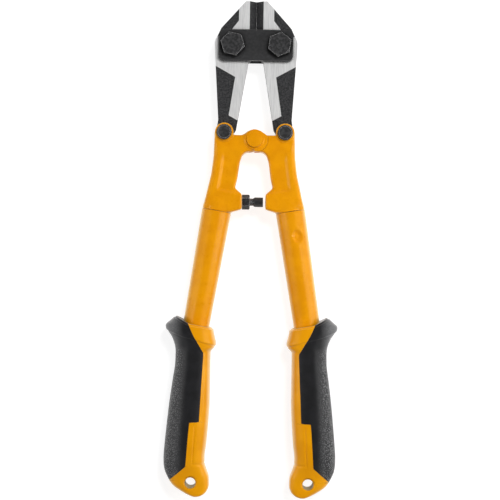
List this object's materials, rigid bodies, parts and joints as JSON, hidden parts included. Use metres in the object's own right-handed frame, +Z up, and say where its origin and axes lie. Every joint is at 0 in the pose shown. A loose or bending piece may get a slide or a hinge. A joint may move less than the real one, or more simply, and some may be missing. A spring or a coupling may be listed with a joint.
{
  "type": "bolt cutters",
  "caption": "Compound-lever bolt cutters with centre-cut jaws, link plates, tubular handles, two-material grips and an adjustable stop.",
  "frame": {"origin": "middle of the tool's footprint on the surface it lies on", "axes": "+Y towards the jaw tips, +X to the right with the front face up, +Z up out of the front face"},
  "size_m": [0.106, 0.305, 0.029],
  "materials": {
    "jaw_steel": "ground faces, with black as-forged areas",
    "plate_black": "satin black",
    "black_fastener": "black oxide",
    "yellow_paint": "gloss orange-yellow enamel",
    "yellow_plastic": "gloss",
    "grip_rubber": "fine pebbled",
    "bumper_black": "smooth"
  },
  "bodies": {
    "head": {"link_plate_front": "plate_black", "link_plate_rear": "plate_black", "jaw_bolt_left": "black_fastener", "jaw_bolt_right": "black_fastener", "jaw_nut_left": "black_fastener", "jaw_nut_right": "black_fastener"},
    "left_jaw": {"jaw_left": "jaw_steel"},
    "right_jaw": {"jaw_right": "jaw_steel"},
    "left_handle": {"handle_head_left": "yellow_paint", "toggle_bolt_left": "black_fastener", "toggle_nut_left": "black_fastener", "centre_rivet": "yellow_paint", "stop_lock_nut": "black_fastener", "handle_tube_left": "yellow_paint", "grip_core_left": "yellow_plastic", "grip_cover_left": "grip_rubber"},
    "right_handle": {"handle_head_right": "yellow_paint", "toggle_bolt_right": "black_fastener", "toggle_nut_right": "black_fastener", "handle_tube_right": "yellow_paint", "grip_core_right": "yellow_plastic", "grip_cover_right": "grip_rubber"},
    "stop": {"stop_screw": "black_fastener", "stop_bumper": "bumper_black"}
  },
  "joints": [
    {"name": "left_jaw_pivot", "type": "hinge", "parent": "head", "child": "left_jaw", "pos_m": [-0.0144, 0.1253, 0.0151], "axis": [0, 0, 1], "range_deg": [0, 8.12]},
    {"name": "right_jaw_pivot", "type": "hinge", "parent": "head", "child": "right_jaw", "pos_m": [0.0144, 0.1253, 0.0151], "axis": [0, 0, -1], "range_deg": [0, 8.12]},
    {"name": "left_handle_pivot", "type": "hinge", "parent": "left_jaw", "child": "left_handle", "pos_m": [-0.0187, 0.0717, 0.0151], "axis": [0, 0, -1], "range_deg": [0, 53.1]},
    {"name": "right_handle_pivot", "type": "hinge", "parent": "right_jaw", "child": "right_handle", "pos_m": [0.0187, 0.0717, 0.0151], "axis": [0, 0, 1], "range_deg": [0, 53.1]},
    {"name": "stop_adjust", "type": "slide", "parent": "left_handle", "child": "stop", "axis": [1, 0, 0], "range_m": [-0.0019, 0.001]}
  ],
  "couplings": [
    {"joint": "left_jaw_pivot", "follows": "left_handle_pivot", "ratio": 0.15291},
    {"joint": "right_jaw_pivot", "follows": "left_handle_pivot", "ratio": 0.15291},
    {"joint": "right_handle_pivot", "follows": "left_handle_pivot", "ratio": 1}
  ]
}
